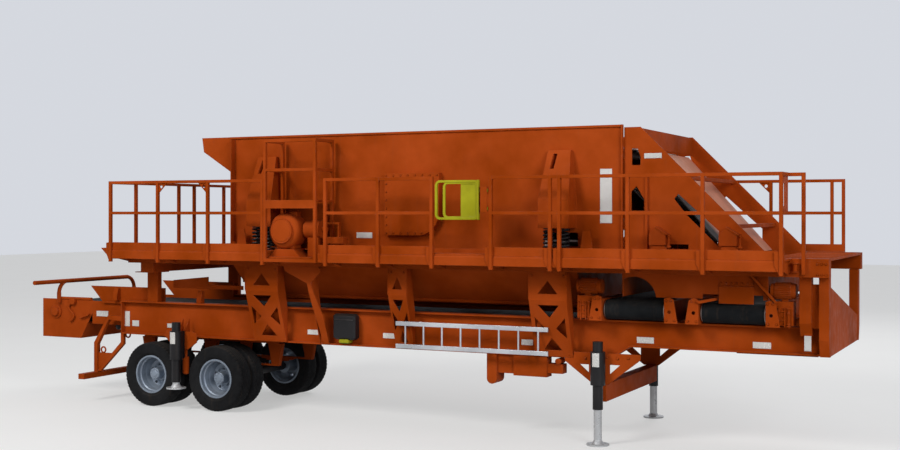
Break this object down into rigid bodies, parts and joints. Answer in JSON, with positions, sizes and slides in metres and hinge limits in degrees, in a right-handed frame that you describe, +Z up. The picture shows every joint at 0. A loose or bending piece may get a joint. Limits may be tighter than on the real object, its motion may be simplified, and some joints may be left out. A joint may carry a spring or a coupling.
{
  "type": "portable vibrating screen plant",
  "caption": "Trailer-mounted horizontal vibrating screen on springs, with walkways, handrails, discharge chutes, belt conveyors, wheels and jacks.",
  "frame": {"origin": "on the ground under the middle of the plant's length and width", "axes": "+X towards the discharge and hitch end, +Y away from the side with the gate, +Z up"},
  "size_m": [12.96, 3.698, 4.2],
  "materials": {
    "orange_paint": "semi-gloss enamel",
    "safety_yellow": "semi-gloss enamel",
    "black_paint": "semi-gloss enamel",
    "tyre_rubber": "matt rubber",
    "wheel_paint": "silver enamel",
    "belt_rubber": "matt rubber",
    "bare_steel": "worn steel",
    "jack_steel": "pale enamel",
    "ladder_aluminium": "mill finish"
  },
  "bodies": {
    "plant": {"chassis_rails": "orange_paint", "chassis_cross_members": "orange_paint", "kingpin_plate": "orange_paint", "support_legs": "orange_paint", "end_columns": "orange_paint", "deck_frame": "orange_paint", "walkways": "orange_paint", "end_platforms": "orange_paint", "handrail_posts_near": "orange_paint", "handrail_bars_near": "orange_paint", "handrail_posts_far": "orange_paint", "handrail_bars_far": "orange_paint", "handrail_posts_end": "orange_paint", "handrail_bars_end": "orange_paint", "handrail_gussets": "orange_paint", "service_platform": "orange_paint", "drive_motor": "orange_paint", "motor_base": "orange_paint", "drive_coupling": "orange_paint", "screen_springs": "black_paint", "chute_cheeks": "orange_paint", "chute_slides": "bare_steel", "chute_ties": "orange_paint", "chute_lower": "orange_paint", "spring_seats": "orange_paint", "fines_hopper": "orange_paint", "conveyor_frame": "orange_paint", "conveyor_belt": "belt_rubber", "conveyor_head": "orange_paint", "conveyor_pulleys": "bare_steel", "cross_conveyor_frames": "orange_paint", "cross_conveyor_belts": "belt_rubber", "cross_conveyor_drives": "orange_paint", "suspension": "orange_paint", "axles": "black_paint", "jack_tubes": "black_paint", "jack_brackets": "orange_paint", "rear_bumper": "orange_paint", "ladder": "ladder_aluminium", "manual_box": "black_paint", "utility_box": "orange_paint"},
    "screen_box": {"screen_sides": "orange_paint", "exciter_covers": "orange_paint", "exciter_tub": "orange_paint", "top_deck": "bare_steel", "lower_decks": "bare_steel", "feed_box": "orange_paint"},
    "gate": {"safety_gate": "safety_yellow"},
    "wheel_rear_near_body": {"wheel_rear_near": "wheel_paint", "tyres_rear_near": "tyre_rubber"},
    "jack_rear_near_body": {"jack_leg_rear_near": "jack_steel"},
    "wheel_rear_far_body": {"wheel_rear_far": "wheel_paint", "tyres_rear_far": "tyre_rubber"},
    "jack_rear_far_body": {"jack_leg_rear_far": "jack_steel"},
    "wheel_front_near_body": {"wheel_front_near": "wheel_paint", "tyres_front_near": "tyre_rubber"},
    "jack_front_near_body": {"jack_leg_front_near": "jack_steel"},
    "wheel_front_far_body": {"wheel_front_far": "wheel_paint", "tyres_front_far": "tyre_rubber"},
    "jack_front_far_body": {"jack_leg_front_far": "jack_steel"}
  },
  "joints": [
    {"name": "screen_bounce", "type": "slide", "parent": "plant", "child": "screen_box", "axis": [0, 0, 1], "range_m": [-0.012, 0.012], "stiffness_N_per_m": 4000000, "springref_m": 0.03068, "deforming": ["screen_springs"]},
    {"name": "gate_swing", "type": "hinge", "parent": "plant", "child": "gate", "pos_m": [2.17, -1.827, 3.23], "axis": [0, 0, -1], "range_deg": [0, 37]},
    {"name": "wheel_rear_near_spin", "type": "hinge", "parent": "plant", "child": "wheel_rear_near_body", "pos_m": [-3.925, -0.938, 0.505], "axis": [0, 1, 0], "continuous": true},
    {"name": "wheel_rear_far_spin", "type": "hinge", "parent": "plant", "child": "wheel_rear_far_body", "pos_m": [-3.925, 0.938, 0.505], "axis": [0, 1, 0], "continuous": true},
    {"name": "wheel_front_near_spin", "type": "hinge", "parent": "plant", "child": "wheel_front_near_body", "pos_m": [-2.679, -0.938, 0.505], "axis": [0, 1, 0], "continuous": true},
    {"name": "wheel_front_far_spin", "type": "hinge", "parent": "plant", "child": "wheel_front_far_body", "pos_m": [-2.679, 0.938, 0.505], "axis": [0, 1, 0], "continuous": true},
    {"name": "jack_front_near_slide", "type": "slide", "parent": "plant", "child": "jack_front_near_body", "axis": [0, 0, -1], "range_m": [-0.3, 0.2]},
    {"name": "jack_front_far_slide", "type": "slide", "parent": "plant", "child": "jack_front_far_body", "axis": [0, 0, -1], "range_m": [-0.3, 0.2]},
    {"name": "jack_rear_near_slide", "type": "slide", "parent": "plant", "child": "jack_rear_near_body", "axis": [0, 0, -1], "range_m": [0, 0.6]},
    {"name": "jack_rear_far_slide", "type": "slide", "parent": "plant", "child": "jack_rear_far_body", "axis": [0, 0, -1], "range_m": [0, 0.6]}
  ]
}
